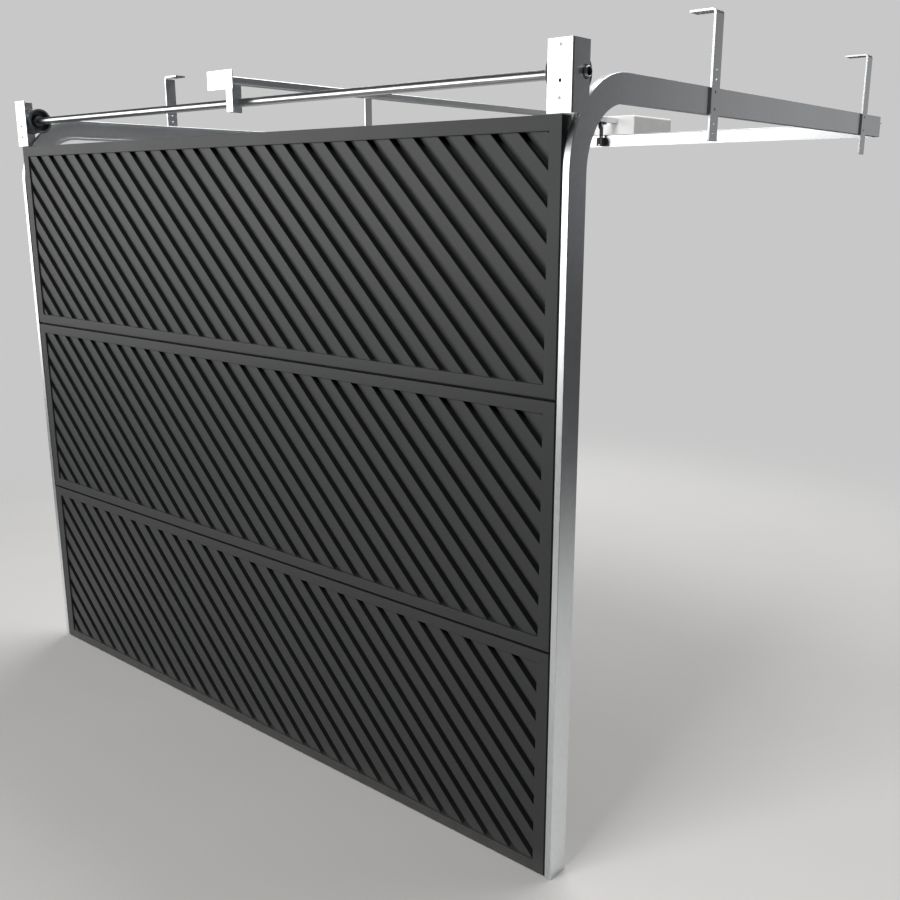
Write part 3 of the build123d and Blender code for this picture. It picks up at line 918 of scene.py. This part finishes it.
class GARAGE_OT_end_brackets(Operator):
    """Make the bearing brackets beside the top of the leaf, with their bearings"""

    bl_idname = "garage_door.end_brackets"
    bl_label = "End Brackets"

    def execute(self, context):
        sizes = context.scene.garage_door_sizes
        low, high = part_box("left_end_bracket")
        bearing_low, bearing_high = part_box("left_end_bearing")
        axle_y = (bearing_low.y + bearing_high.y) / 2
        axle_z = (bearing_low.z + bearing_high.z) / 2
        wall = SHEET_WALL
        inner = 0.8 * MM
        reach = high.x - low.x
        at = reach - inner - wall
        end = past_fold(at, inner, wall, high.y)
        tall = high.z - low.z
        seat = past_fold(at, inner, wall, axle_y)
        corner = 1.5 * MM
        wall_holes = [ring(reach / 2, high.z - drop * MM - low.z, BOLT_HOLE_RADIUS)
                      for drop in (15.5, 95.5, 135.5)]
        bore = 17.6 * MM
        for side, moved in SIDES.items():
            outline = rectangle(0, end, 0, tall, corner)
            sheet = plate(outline, wall_holes + [ring(seat, axle_z - low.z, bore, 48)], wall,
                          sizes.sheet_edge)
            fold(sheet, at, inner, wall)
            set_in(sheet, (high.x, 0, low.z), -RIGHTWARD, UPWARD, INWARD)
            new_piece(side + "_end_bracket_pressed", [(sheet, "zinc")], "door",
                      [side + "_end_bracket"], moved)
            new_piece(side + "_end_bearing_turned", self.bearing(sizes, low, axle_y, axle_z, bore),
                      "door", [side + "_end_bearing"], moved)
        return {"FINISHED"}

    def bearing(self, sizes, low, y, z, bore):
        """A flanged bearing: an outer ring, a seal and an inner ring."""
        wall = SHEET_WALL
        flange = 21 * MM
        seal = 14 * MM
        race = 13.7 * MM
        inside = sizes.shaft_radius + 0.1 * MM
        edge = 0.5 * MM
        shell = [(0, seal), (0, bore - edge), (0.4 * MM, bore), (wall, bore),
                 (wall, flange - edge), (wall + edge, flange), (2 * wall - edge, flange),
                 (2 * wall, flange - edge), (2 * wall, seal + 1 * MM), (2 * wall - 1 * MM, seal)]
        inner = [(0.6 * MM, inside), (0.6 * MM, race), (2 * wall - 0.8 * MM, race),
                 (2 * wall - 0.8 * MM, inside)]
        origin = (low.x, y, z)
        return [(along(turned(shell, 48, True), origin, RIGHTWARD), "drum"),
                (along(turned(inner, 48, True), origin, RIGHTWARD), "plated")]


class GARAGE_OT_lift_shaft(Operator):
    """Make the lift shaft and its two cable drums"""

    bl_idname = "garage_door.lift_shaft"
    bl_label = "Lift Shaft and Drums"

    def execute(self, context):
        sizes = context.scene.garage_door_sizes
        low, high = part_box("lift_shaft")
        y = (low.y + high.y) / 2
        z = (low.z + high.z) / 2
        run = high.x - low.x
        radius = sizes.shaft_radius
        bore = radius - 2.2 * MM
        deep = 70 * MM
        edge = 0.5 * MM
        tube = [(deep, 0), (deep, bore), (edge, bore), (0, bore + edge), (0, radius - edge),
                (edge, radius), (run - edge, radius), (run, radius - edge), (run, bore + edge),
                (run - edge, bore), (run - deep, bore), (run - deep, 0)]
        new_piece("lift_shaft_drawn", [(along(turned(tube), (low.x, y, z), RIGHTWARD), "tube")],
                  "shaft", ["lift_shaft"])
        for side, moved in SIDES.items():
            new_piece(side + "_cable_drum_cast", self.drum(sizes, y, z), "shaft",
                      [side + "_cable_drum"], moved)
        return {"FINISHED"}

    def drum(self, sizes, y, z):
        """Two rims, a barrel with a groove for each turn of cable, and a cup with its hub."""
        low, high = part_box("left_cable_drum")
        run = high.x - low.x
        rim = (high.z - low.z) / 2
        barrel = 42 * MM
        rim_width = 5 * MM
        cup_depth = 28 * MM
        cup = 39 * MM
        bore = sizes.shaft_radius + 0.02 * MM
        hub = 21 * MM
        edge = 1.2 * MM
        screw_radius = 4.5 * MM
        screw_length = 8 * MM
        groove_pitch = 5 * MM
        profile = [(0, bore), (0, hub), (2 * MM, hub + 2 * MM), (2 * MM, barrel - 6 * MM),
                   (0, barrel - 4 * MM), (0, rim - edge), (edge, rim), (rim_width - edge, rim),
                   (rim_width, rim - edge), (rim_width, barrel)]
        count = int((run - 2 * rim_width) / groove_pitch)
        start = (run - count * groove_pitch) / 2
        for number in range(count):
            left = start + number * groove_pitch
            profile += [(left + 0.4 * MM, barrel), (left + 1.2 * MM, barrel - 1.1 * MM),
                        (left + groove_pitch / 2, barrel - 1.6 * MM),
                        (left + groove_pitch - 1.2 * MM, barrel - 1.1 * MM),
                        (left + groove_pitch - 0.4 * MM, barrel)]
        profile += [(run - rim_width, barrel), (run - rim_width, rim - edge),
                    (run - rim_width + edge, rim), (run - edge, rim), (run, rim - edge),
                    (run, cup + edge), (run - edge, cup), (run - cup_depth + 2 * MM, cup - 1 * MM),
                    (run - cup_depth, cup - 3 * MM), (run - cup_depth, hub + 2 * MM),
                    (run - cup_depth + 2 * MM, hub), (run - 10 * MM, hub - 1 * MM),
                    (run - 8.5 * MM, hub - 2.5 * MM), (run - 8.5 * MM, bore)]
        parts = [(along(turned(profile, 64, True), (low.x, y, z), RIGHTWARD), "drum")]
        for turn in (0, math.pi / 2):
            outward = Vector((0, -math.cos(turn), math.sin(turn)))
            seat = Vector((high.x - 17 * MM, y, z)) + outward * (hub - 2.5 * MM)
            screw = rod(seat, outward, screw_length, screw_radius, 0.6 * MM, 6)
            parts.append((screw, "black"))
        return parts


class GARAGE_OT_centre_bracket(Operator):
    """Make the bracket round the middle of the shaft"""

    bl_idname = "garage_door.centre_bracket"
    bl_label = "Centre Bracket"

    def execute(self, context):
        sizes = context.scene.garage_door_sizes
        low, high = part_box("centre_bracket")
        shaft_low, shaft_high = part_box("lift_shaft")
        axle = (shaft_low + shaft_high) / 2
        wall = SHEET_WALL
        leg_left = CENTRE_X + 17 * MM
        leg_right = CENTRE_X + 47 * MM
        plate_foot = high.z - 57 * MM
        corner = 2 * MM
        notch = 1.5 * MM
        outline = rounded([
            (low.x, plate_foot, corner), (leg_left - 2 * notch, plate_foot, notch / 2),
            (leg_left - notch, plate_foot + notch, notch / 2), (leg_left, plate_foot, notch / 2),
            (leg_left, low.z, corner), (leg_right, low.z, corner), (leg_right, plate_foot, 0.5 * MM),
            (high.x, plate_foot, corner), (high.x, high.z, corner), (low.x, high.z, corner)])
        front = plate(outline, [], wall, sizes.sheet_edge)
        slot = sizes.shaft_radius + 0.8 * MM
        flange_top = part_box("opener_rail")[0].z
        reach = high.y
        steps = 12
        throat = [(reach, axle.z - slot, 1 * MM), (axle.y, axle.z - slot, 0)]
        for step in range(1, steps):
            angle = -math.pi / 2 - math.pi * step / steps
            throat.append((axle.y + slot * math.cos(angle), axle.z + slot * math.sin(angle), 0))
        throat += [(axle.y, axle.z + slot, 0), (reach, axle.z + slot, 1 * MM)]
        side = rounded([(wall - 0.2 * MM, low.z, 0), (reach, low.z, corner)] + throat
                       + [(reach, flange_top, corner), (wall - 0.2 * MM, flange_top, 0)])
        flange = plate(side, [], wall, sizes.sheet_edge)
        parts = [(set_in(front, (0, 0, 0), RIGHTWARD, UPWARD, INWARD), "zinc"),
                 (set_in(flange, (leg_left, 0, 0), INWARD, UPWARD, RIGHTWARD), "zinc")]
        new_piece("centre_bracket_welded", parts, "door", ["centre_bracket"])
        return {"FINISHED"}


# Opener


class GARAGE_OT_opener(Operator):
    """Make the opener's rail, motor head and trolley"""

    bl_idname = "garage_door.opener"
    bl_label = "Opener"

    def execute(self, context):
        sizes = context.scene.garage_door_sizes
        self.make_rail()
        self.make_motor()
        self.make_trolley(sizes)
        return {"FINISHED"}

    def make_rail(self):
        """A rolled channel with a slot along its underside."""
        low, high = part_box("opener_rail")
        wall = 2 * MM
        slot = 6 * MM
        middle = (low.x + high.x) / 2
        outer = wall + 0.5 * MM
        inner = 0.5 * MM
        tip = 0.6 * MM
        loop = rounded([
            (middle - slot, low.z, tip), (low.x, low.z, outer), (low.x, high.z, outer),
            (high.x, high.z, outer), (high.x, low.z, outer), (middle + slot, low.z, tip),
            (middle + slot, low.z + wall, tip), (high.x - wall, low.z + wall, inner),
            (high.x - wall, high.z - wall, inner), (low.x + wall, high.z - wall, inner),
            (low.x + wall, low.z + wall, inner), (middle - slot, low.z + wall, tip)])
        rail = swept(loop, [(INWARD * y, RIGHTWARD, UPWARD) for y in (low.y, high.y)])
        new_piece("opener_rail_rolled", [(rail, "zinc")], "door",
                  ["opener_rail"])

    def make_motor(self):
        """A moulded cover in three shells, with a vented rear panel."""
        low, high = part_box("motor_head")
        corner = 10 * MM
        seam = 1.2 * MM
        recess = 9 * MM
        front_seam = low.y + 62 * MM
        rear_seam = high.y - 78 * MM

        def outline(y, inset):
            loop = rectangle(low.x + inset, high.x - inset, low.z + inset, high.z - inset,
                             max(corner - inset, 2 * MM))
            return [Vector((point.x, y, point.y)) for point in loop]

        rings = [outline(low.y, 5 * MM), outline(low.y + 0.6 * MM, 2.6 * MM),
                 outline(low.y + 2 * MM, 1.2 * MM), outline(low.y + 5 * MM, 0)]
        for y in (front_seam, rear_seam):
            rings += [outline(y, 0), outline(y + 0.3 * MM, seam), outline(y + seam, seam),
                      outline(y + seam + 0.3 * MM, 0)]
        rings += [outline(high.y - 5 * MM, 0), outline(high.y - 1.5 * MM, 1.4 * MM),
                  outline(high.y, 5 * MM), outline(high.y - 0.3 * MM, 8 * MM),
                  outline(high.y - recess, 8.5 * MM)]
        parts = [(lofted(rings), "housing")]
        middle = (low.x + high.x) / 2
        vent_across = 45 * MM
        vent_length = 62 * MM
        vent_radius = 2.2 * MM
        vent_pitch = 9 * MM
        vents = []
        for row in range(7):
            z = low.z + 30 * MM + row * vent_pitch
            for x in (middle - vent_across, middle + vent_across):
                vents.append(slotted(x, z, vent_radius, vent_length))
        margin = 9 * MM
        panel = plate(rectangle(low.x + margin, high.x - margin, low.z + margin,
                                high.z - margin, 4 * MM), vents, 2.5 * MM, 0.4 * MM)
        set_in(panel, (0, high.y - 4 * MM, 0), RIGHTWARD, UPWARD, INWARD)
        parts.append((panel, "housing"))
        inset = 16 * MM
        for x in (low.x + inset, high.x - inset):
            for z in (low.z + inset, high.z - inset):
                screw = rod((x, high.y - 1.6 * MM, z), INWARD, 1.4 * MM, 3.5 * MM, 0.4 * MM)
                parts.append((screw, "plated"))
        new_piece("motor_head_moulded", parts, "door", ["motor_head"])

    def make_trolley(self, sizes):
        """A shoe in the rail, its neck and plate, and the lug with the arm's pin."""
        low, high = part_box("trolley")
        rail_low, rail_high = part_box("opener_rail")
        middle = (rail_low.x + rail_high.x) / 2
        inside = (rail_high.x - rail_low.x) / 2 - 4 * MM
        lug_right = middle + 11 * MM
        lug_left = lug_right - 5 * MM
        back = (low.y + high.y) / 2
        plate_top = rail_low.z - 2 * MM
        plate_foot = plate_top - 8 * MM
        edge = 1 * MM
        shoe = bar((middle - inside, low.y, rail_low.z + 4 * MM),
                   (middle + inside, high.y, rail_high.z - 4 * MM), edge)
        neck = bar((middle - 4 * MM, low.y + 1 * MM, plate_top - 1 * MM),
                   (middle + 4 * MM, high.y - 1 * MM, rail_low.z + 5 * MM), 0.5 * MM)
        base = bar((middle - inside, low.y, plate_foot), (lug_right, high.y, plate_top), edge)
        parts = [(shoe, "nylon"), (neck, "nylon"), (base, "black")]
        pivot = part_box("draw_arm")[1].z - 13 * MM
        half = 17 * MM
        outline = rounded([(back - half, low.z, half * 0.98), (back + half, low.z, half * 0.98),
                           (back + half, plate_foot + 1 * MM, 0),
                           (back - half, plate_foot + 1 * MM, 0)], 8)
        lug = plate(outline, [], lug_right - lug_left, sizes.sheet_edge)
        parts.append((set_in(lug, (lug_left, 0, 0), INWARD, UPWARD, RIGHTWARD), "black"))
        head = 3 * MM
        pin = rod((lug_left, back, pivot), RIGHTWARD, high.x - lug_left - 2 * MM, 4 * MM)
        pin_head = rod((high.x - head, back, pivot), RIGHTWARD, head, 7 * MM, 0.8 * MM)
        parts += [(pin, "plated"), (pin_head, "plated")]
        for y in (low.y + 14 * MM, high.y - 14 * MM):
            screw = rod((middle, y, plate_foot - 2.4 * MM), UPWARD, 2.6 * MM, 5 * MM, 0.5 * MM, 6)
            parts.append((screw, "plated"))
        new_piece("trolley_assembled", parts, "trolley", ["trolley"])


class GARAGE_OT_draw_arm(Operator):
    """Make the draw arm and the clevis on its lower end"""

    bl_idname = "garage_door.draw_arm"
    bl_label = "Draw Arm"

    def execute(self, context):
        low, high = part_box("draw_arm")
        back = (low.y + high.y) / 2
        half = (high.y - low.y) / 2
        pivot = high.z - half
        lower = low.z + half
        spare = pivot - 49 * MM
        holes = [ring(back, pivot, 4.1 * MM), ring(back, spare, 3.5 * MM),
                 ring(back, lower, 3.5 * MM)]
        strap = plate(rectangle(low.y, high.y, low.z, high.z, half * 0.999), holes,
                      high.x - low.x, 0.4 * MM)
        set_in(strap, (low.x, 0, 0), INWARD, UPWARD, RIGHTWARD)
        new_piece("draw_arm_pressed", [(strap, "black")], "arm", ["draw_arm"])

        block_low, block_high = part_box("arm_clevis")
        slot_left = low.x - 0.1 * MM
        slot_right = high.x + 0.1 * MM
        floor = low.z - 0.2 * MM
        outer = 2 * MM
        inner = 0.6 * MM
        loop = rounded([
            (block_low.x, block_low.z, outer), (block_high.x, block_low.z, outer),
            (block_high.x, block_high.z, outer), (slot_right, block_high.z, inner),
            (slot_right, floor, inner), (slot_left, floor, inner),
            (slot_left, block_high.z, inner), (block_low.x, block_high.z, outer)])
        fork = set_in(plate([(p.x, p.y) for p in loop], [], block_high.y - block_low.y, 0.8 * MM),
                      (0, block_low.y, 0), RIGHTWARD, UPWARD, INWARD)
        parts = [(fork, "black")]
        pin = rod((block_low.x + 0.3 * MM, back, lower), RIGHTWARD,
                  block_high.x - block_low.x - 0.6 * MM, 3.4 * MM)
        parts.append((pin, "black"))
        face = Vector(((block_low.x + block_high.x) / 2, block_low.y,
                       (block_low.z + low.z) / 2))
        parts += hex_bolt(face, -INWARD, 7 * MM, 2.5 * MM)
        new_piece("arm_clevis_machined", parts, "arm", ["arm_clevis"])
        return {"FINISHED"}


# Hanging parts


class GARAGE_OT_hangers(Operator):
    """Make the holed straps that hang the horizontal tracks"""

    bl_idname = "garage_door.hangers"
    bl_label = "Hangers"

    def execute(self, context):
        sizes = context.scene.garage_door_sizes
        # Heights of the holes over the track's top, in millimetres.
        rows = {
            "front_hanger": (48, 22, -12, -60, -100, -126),
            "rear_hanger": (-12, -60),
        }
        for side, moved in SIDES.items():
            for name, heights in rows.items():
                node = side + "_" + name
                strap = self.strap(sizes, name, [height * MM for height in heights])
                new_piece(node + "_bent", [(strap, "zinc")], "door", [node],
                          moved)
        return {"FINISHED"}

    def strap(self, sizes, name, heights):
        """A flat bar with holes, bent inwards at the top."""
        low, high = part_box("left_" + name)
        track_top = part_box("left_horizontal_track")[1].z
        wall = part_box("left_horizontal_track")[0].x - low.x
        inner = 7 * MM
        rise = high.z - low.z
        at = rise - inner - wall
        end = past_fold(at, inner, wall, high.x - low.x)
        wide = high.y - low.y
        holes = [ring(track_top + height - low.z, wide / 2, BOLT_HOLE_RADIUS)
                 for height in heights]
        for from_tip in (18 * MM, 50 * MM):
            place = past_fold(at, inner, wall, high.x - low.x - from_tip)
            holes.append(ring(place, wide / 2, BOLT_HOLE_RADIUS))
        bent = plate(rectangle(0, end, 0, wide, 1.5 * MM), holes, wall, sizes.sheet_edge)
        fold(bent, at, inner, wall, 8)
        return set_in(bent, (low.x, low.y, low.z), UPWARD, INWARD, RIGHTWARD)


class GARAGE_OT_rear_crossbar(Operator):
    """Make the angle across the rear ends of the tracks"""

    bl_idname = "garage_door.rear_crossbar"
    bl_label = "Rear Crossbar"

    def execute(self, context):
        sizes = context.scene.garage_door_sizes
        low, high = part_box("rear_crossbar")
        wall = SHEET_WALL
        inner = 1.5 * MM
        from_end = 10 * MM
        at = (high.z - low.z) - inner - wall
        end = past_fold(at, inner, wall, high.y - low.y)
        angle = plate(rectangle(0, end, 0, high.x - low.x, 1 * MM), [], wall, sizes.sheet_edge)
        fold(angle, at, inner, wall)
        set_in(angle, (low.x, low.y, low.z), UPWARD, RIGHTWARD, INWARD)
        parts = [(angle, "zinc")]
        for x in (low.x + from_end, high.x - from_end):
            for z in (low.z + 14 * MM, low.z + 36 * MM):
                parts += hex_bolt((x, low.y + wall, z), INWARD, SMALL_BOLT_WIDTH)
        new_piece("rear_crossbar_folded", parts, "door", ["rear_crossbar"])
        return {"FINISHED"}


# Studio


DOOR_MIDDLE = (CENTRE_X, 0.3, 1.2)
CEILING_PLACE = (2.4, 5.4, 9.0)
# Each light's name, place, aim, width, height, power in watts, and whether metal mirrors it.
LIGHTS = (
    ("left_key", (-6.9, -8.6, 3.1), DOOR_MIDDLE, 12.0, 6.6, 830, True),
    ("front_top", (1.5, -5.5, 6.5), DOOR_MIDDLE, 4.0, 3.0, 600, False),
    ("ceiling", CEILING_PLACE, CEILING_PLACE[:2] + (0,), 9.0, 6.0, 920, True),
    ("rear_fill", (-3.5, 6.5, 3.5), DOOR_MIDDLE, 3.0, 3.0, 150, True),
    ("rear_glow", (6.6, 12.0, 3.0), DOOR_MIDDLE, 5.0, 4.0, 22, True),
)
FLOOR_MIDDLE = (CENTRE_X, 1.0, 0)
FLOOR_DROP = 0.2 * MM
FLOOR_RADIUS = 10.0
FADE_START = 2.1
FADE_END = 4.8
ROOM_LIGHT = 0.07
CAMERA_PLACE = (4.0321, -2.1160, 1.9080)
CAMERA_TURN = (math.radians(75.97), 0, math.radians(40.20))
CAMERA_LENS = 40.56
CAMERA_SENSOR = 36


def soft_light(name, place, aim, width, height, power, mirrored):
    """A soft box at a place, turned to an aim. Shiny faces show it only if it is mirrored."""
    lamp = bpy.data.lights.new(name, "AREA")
    lamp.shape = "RECTANGLE"
    lamp.size = width
    lamp.size_y = height
    lamp.energy = power
    source = bpy.data.objects.new(name, lamp)
    source.location = place
    source.visible_camera = False
    source.visible_glossy = mirrored
    source.rotation_euler = (Vector(aim) - Vector(place)).to_track_quat("-Z", "Y").to_euler()
    bpy.context.scene.collection.objects.link(source)


class GARAGE_OT_studio(Operator):
    """Make the floor, the soft lights, the backdrop and the camera"""

    bl_idname = "garage_door.studio"
    bl_label = "Studio"

    def execute(self, context):
        colours = context.scene.garage_door_colours
        self.make_floor(colours)
        self.make_backdrop(context, colours)
        for light in LIGHTS:
            soft_light(*light)
        context.scene.view_settings.view_transform = "Standard"
        self.make_camera(context)
        return {"FINISHED"}

    def make_floor(self, colours):
        """Pale smooth floor that fades into the backdrop a few metres away."""
        # Matt floor paint gives an even tone, with faint clouds about 600 mm across.
        material, tree, place = blank_material("painted_studio_floor")
        tone = mottled(tree, place, colours.floor, 600, 0.012)[0]
        paint = add_node(tree, "ShaderNodeBsdfPrincipled", {
            "Base Color": tone, "Roughness": 0.75, "IOR": 1.45})
        clear = add_node(tree, "ShaderNodeBsdfTransparent")
        reach = add_node(tree, "ShaderNodeVectorMath", {
            0: place, 1: FLOOR_MIDDLE}, operation="DISTANCE")
        fade = add_node(tree, "ShaderNodeMapRange", {
            "Value": reach.outputs["Value"], "From Min": FADE_START, "From Max": FADE_END},
            interpolation_type="SMOOTHERSTEP")
        mix = add_node(tree, "ShaderNodeMixShader", {
            "Fac": fade.outputs["Result"], 1: paint.outputs["BSDF"], 2: clear.outputs["BSDF"]})
        add_node(tree, "ShaderNodeOutputMaterial", {"Surface": mix.outputs["Shader"]})
        part = bmesh.new()
        bmesh.ops.create_circle(part, cap_ends=True, segments=64, radius=FLOOR_RADIUS)
        mesh = bpy.data.meshes.new("studio_floor")
        part.to_mesh(mesh)
        part.free()
        mesh.materials.append(material)
        floor = bpy.data.objects.new("studio_floor", mesh)
        mesh.transform(Matrix.Translation(Vector(FLOOR_MIDDLE) - UPWARD * FLOOR_DROP))
        bpy.context.scene.collection.objects.link(floor)

    def make_backdrop(self, context, colours):
        """Seen directly, an even pale grey. As light, a dim and even room."""
        world = bpy.data.worlds.new("studio")
        context.scene.world = world
        world.use_nodes = True
        tree = world.node_tree
        tree.nodes.clear()
        seen = add_node(tree, "ShaderNodeBackground", {
            "Color": opaque(colours.backdrop), "Strength": 1.0})
        room = add_node(tree, "ShaderNodeBackground", {
            "Color": opaque(linear("#e4e6ea")), "Strength": ROOM_LIGHT})
        path = add_node(tree, "ShaderNodeLightPath")
        mix = add_node(tree, "ShaderNodeMixShader", {
            "Fac": path.outputs["Is Camera Ray"], 1: room.outputs["Background"],
            2: seen.outputs["Background"]})
        add_node(tree, "ShaderNodeOutputWorld", {"Surface": mix.outputs["Shader"]})

    def make_camera(self, context):
        """From the right of the door, a little above head height."""
        lens = bpy.data.cameras.new("door_view")
        lens.sensor_fit = "HORIZONTAL"
        lens.sensor_width = CAMERA_SENSOR
        lens.lens = CAMERA_LENS
        lens.clip_end = 100
        camera = bpy.data.objects.new("door_view", lens)
        camera.location = CAMERA_PLACE
        camera.rotation_euler = CAMERA_TURN
        context.scene.collection.objects.link(camera)
        context.scene.camera = camera


PIECES = (
    GARAGE_OT_leaf_sections,
    GARAGE_OT_bottom_seal,
    GARAGE_OT_joint_hinges,
    GARAGE_OT_rollers,
    GARAGE_OT_tracks,
    GARAGE_OT_end_brackets,
    GARAGE_OT_lift_shaft,
    GARAGE_OT_centre_bracket,
    GARAGE_OT_opener,
    GARAGE_OT_draw_arm,
    GARAGE_OT_hangers,
    GARAGE_OT_rear_crossbar,
    GARAGE_OT_studio,
)


class GARAGE_PT_door(Panel):
    """Lists the door's sizes, colours and pieces"""

    bl_idname = "GARAGE_PT_door"
    bl_label = "Garage Door"
    bl_space_type = "VIEW_3D"
    bl_region_type = "UI"
    bl_category = "Garage Door"

    def draw(self, context):
        layout = self.layout
        for group in (context.scene.garage_door_sizes, context.scene.garage_door_colours):
            column = layout.column(align=True)
            for name in group.__annotations__:
                column.prop(group, name)
        column = layout.column(align=True)
        for piece in PIECES:
            column.operator(piece.bl_idname)


CLASSES = (DoorSizes, DoorColours) + PIECES + (GARAGE_PT_door,)


def register():
    for item in CLASSES:
        bpy.utils.register_class(item)
    bpy.types.Scene.garage_door_sizes = PointerProperty(type=DoorSizes)
    bpy.types.Scene.garage_door_colours = PointerProperty(type=DoorColours)


def unregister():
    del bpy.types.Scene.garage_door_colours
    del bpy.types.Scene.garage_door_sizes
    for item in reversed(CLASSES):
        bpy.utils.unregister_class(item)


def main():
    """Makes every piece and the studio."""
    register()
    bpy.ops.garage_door.leaf_sections()
    bpy.ops.garage_door.bottom_seal()
    bpy.ops.garage_door.joint_hinges()
    bpy.ops.garage_door.rollers()
    bpy.ops.garage_door.tracks()
    bpy.ops.garage_door.end_brackets()
    bpy.ops.garage_door.lift_shaft()
    bpy.ops.garage_door.centre_bracket()
    bpy.ops.garage_door.opener()
    bpy.ops.garage_door.draw_arm()
    bpy.ops.garage_door.hangers()
    bpy.ops.garage_door.rear_crossbar()
    bpy.ops.garage_door.studio()


if __name__ == "__main__":
    main()
